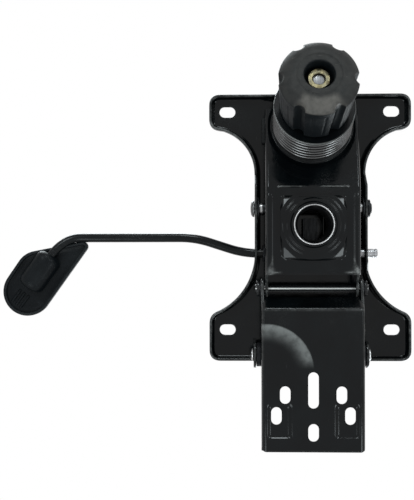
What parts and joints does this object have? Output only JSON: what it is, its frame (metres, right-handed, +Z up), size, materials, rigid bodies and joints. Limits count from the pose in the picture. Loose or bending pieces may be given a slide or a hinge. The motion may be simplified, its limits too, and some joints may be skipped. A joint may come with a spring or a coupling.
{
  "type": "office chair tilt mechanism",
  "caption": "Under-seat synchro tilt mechanism: pressed seat plate, housing with gas-lift socket, back bracket, tension knob with coil spring, and a bent lever with paddle.",
  "frame": {"origin": "on the gas-lift axis, at the socket's lower rim", "axes": "as in use: +Z up, from the gas lift to the seat; -Y to the front of the chair, where the tension knob is; -X to the sitter's right, where the lever is"},
  "size_m": [0.3695, 0.3441, 0.1321],
  "materials": {
    "black_paint": "gloss black powder paint, worn on edges",
    "spring_steel": "black phosphate, oiled",
    "socket_steel": "bare steel rim",
    "bright_zinc": "bright zinc plate",
    "yellow_zinc": "yellow passivated zinc",
    "black_plastic": "moulded satin black",
    "nylon": "black nylon",
    "rubber": "matt black"
  },
  "bodies": {
    "housing": {"tilt_housing": "black_paint", "taper_socket": "socket_steel", "tilt_pivot_pin": "bright_zinc", "pivot_clip": "bright_zinc", "back_pivot_rod": "bright_zinc", "back_rod_clips": "bright_zinc", "lever_bushes": "nylon", "spring_seat": "rubber", "tension_spring": "spring_steel", "stop_pads": "rubber"},
    "seat": {"seat_plate": "black_paint", "anchor_saddle": "black_paint", "tilt_bushes": "nylon"},
    "back": {"back_bracket": "black_paint", "back_bushes": "nylon", "rear_link_pins": "bright_zinc", "rear_spacers": "black_plastic"},
    "bolt": {"tension_bolt": "bright_zinc", "rocker_washer": "bright_zinc"},
    "plate": {"spring_plate": "black_paint"},
    "knob": {"tension_knob": "black_plastic", "knob_nut": "yellow_zinc"},
    "lock": {"lock_pawl": "bright_zinc"},
    "lever": {"lever_rod": "black_paint", "lever_collars": "bright_zinc", "valve_finger": "bright_zinc", "lever_paddle": "black_plastic"}
  },
  "joints": [
    {"name": "back_recline", "type": "hinge", "parent": "housing", "child": "back", "pos_m": [0, 0.056, 0.036], "axis": [-1, 0, 0], "range_deg": [0, 15], "stiffness_Nm_per_rad": 20, "springref_deg": -8.59},
    {"name": "seat_tilt", "type": "hinge", "parent": "housing", "child": "seat", "pos_m": [0, -0.0155, 0.048], "axis": [-1, 0, 0], "range_deg": [0, 7]},
    {"name": "bolt_pull", "type": "slide", "parent": "housing", "child": "bolt", "axis": [0, 0.3256, 0.9455], "range_m": [0, 0.008], "deforming": ["tension_spring"]},
    {"name": "knob_advance", "type": "slide", "parent": "bolt", "child": "plate", "axis": [0, 0.3256, 0.9455], "range_m": [0, 0.0045], "deforming": ["tension_spring"]},
    {"name": "knob_turn", "type": "hinge", "parent": "plate", "child": "knob", "pos_m": [0, -0.0874, 0.03073], "axis": [0, 0.3256, 0.9455], "range_deg": [0, 1081]},
    {"name": "lever_push", "type": "slide", "parent": "housing", "child": "lock", "axis": [-1, 0, 0], "range_m": [0, 0.007]},
    {"name": "lever_lift", "type": "hinge", "parent": "lock", "child": "lever", "pos_m": [0, 0.0248, 0.05], "axis": [1, 0, 0], "range_deg": [0, 10], "stiffness_Nm_per_rad": 2, "springref_deg": -5.73}
  ],
  "couplings": [
    {"joint": "seat_tilt", "follows": "back_recline", "ratio": 0.4666},
    {"joint": "bolt_pull", "follows": "back_recline", "m_per_rad": 0.0303},
    {"joint": "knob_turn", "follows": "knob_advance", "rad_per_m": 4188.8}
  ]
}
